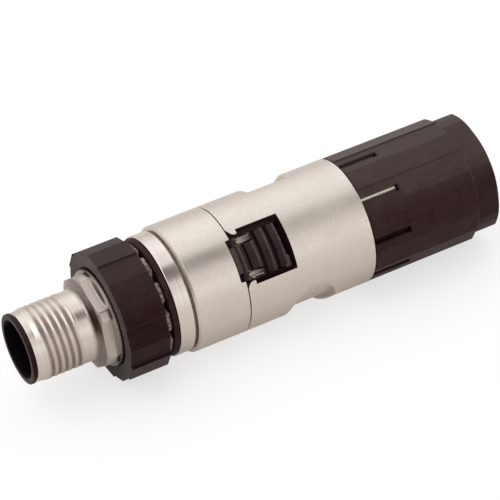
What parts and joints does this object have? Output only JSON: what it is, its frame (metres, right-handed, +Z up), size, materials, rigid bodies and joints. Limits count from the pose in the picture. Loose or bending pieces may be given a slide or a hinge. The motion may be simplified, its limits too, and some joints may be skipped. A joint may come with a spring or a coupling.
{
  "type": "m12 cable plug",
  "caption": "Straight shielded circular plug with a threaded coupling screw, a ribbed grip ring, a two-shell metal housing with a release latch, and a slotted cable gland nut.",
  "frame": {"origin": "on the plug axis, at the front face of the mouth", "axes": "+X along the axis from the mouth to the cable end, +Z up with the plug lying on its side, latch turned 48.5 degrees from up to the -Y side"},
  "size_m": [0.0808, 0.0212, 0.0214],
  "materials": {
    "nickel_satin": "satin, fine blasted",
    "nickel_turned": "turned, semi bright",
    "spring_steel": "drawn",
    "gold_contact": "gold plated",
    "black_plastic": "matte, finely eroded",
    "black_rubber": "smooth"
  },
  "bodies": {
    "housing": {"snap_ring": "spring_steel", "coupling_seal": "black_rubber", "collar_ring": "nickel_turned", "front_housing": "nickel_satin", "rear_housing": "nickel_satin", "seam_seal": "black_rubber", "cage_seal": "black_rubber", "latch_pin": "spring_steel", "latch_bed": "black_plastic", "contact_carrier": "black_plastic", "contact_1": "gold_contact", "contact_2": "gold_contact", "contact_3": "gold_contact", "contact_4": "gold_contact", "wire_manager": "black_plastic", "shield_can": "nickel_satin", "clamp_cage": "black_plastic", "shield_spring_1": "spring_steel", "shield_spring_2": "spring_steel", "shield_spring_3": "spring_steel", "cable_seal": "black_rubber"},
    "coupling": {"coupling_screw": "nickel_turned", "grip_ring": "black_plastic"},
    "latch": {"release_latch": "black_plastic"},
    "washer": {"thrust_washer": "black_plastic"},
    "nut": {"gland_nut": "black_plastic"}
  },
  "joints": [
    {"name": "coupling_spin", "type": "hinge", "parent": "housing", "child": "coupling", "pos_m": [0, 0, 0], "axis": [1, 0, 0], "continuous": true},
    {"name": "latch_press", "type": "hinge", "parent": "housing", "child": "latch", "pos_m": [0.03615, -0.00663, 0.00586], "axis": [0, 0.6626, 0.749], "range_deg": [0, 7], "stiffness_Nm_per_rad": 0.3},
    {"name": "nut_travel", "type": "slide", "parent": "housing", "child": "washer", "axis": [1, 0, 0], "range_m": [0, 0.0045]},
    {"name": "nut_turn", "type": "hinge", "parent": "washer", "child": "nut", "pos_m": [0, 0, 0], "axis": [1, 0, 0], "range_deg": [0, 1080]}
  ],
  "couplings": [
    {"joint": "nut_travel", "follows": "nut_turn", "m_per_rad": 0.00023873}
  ]
}
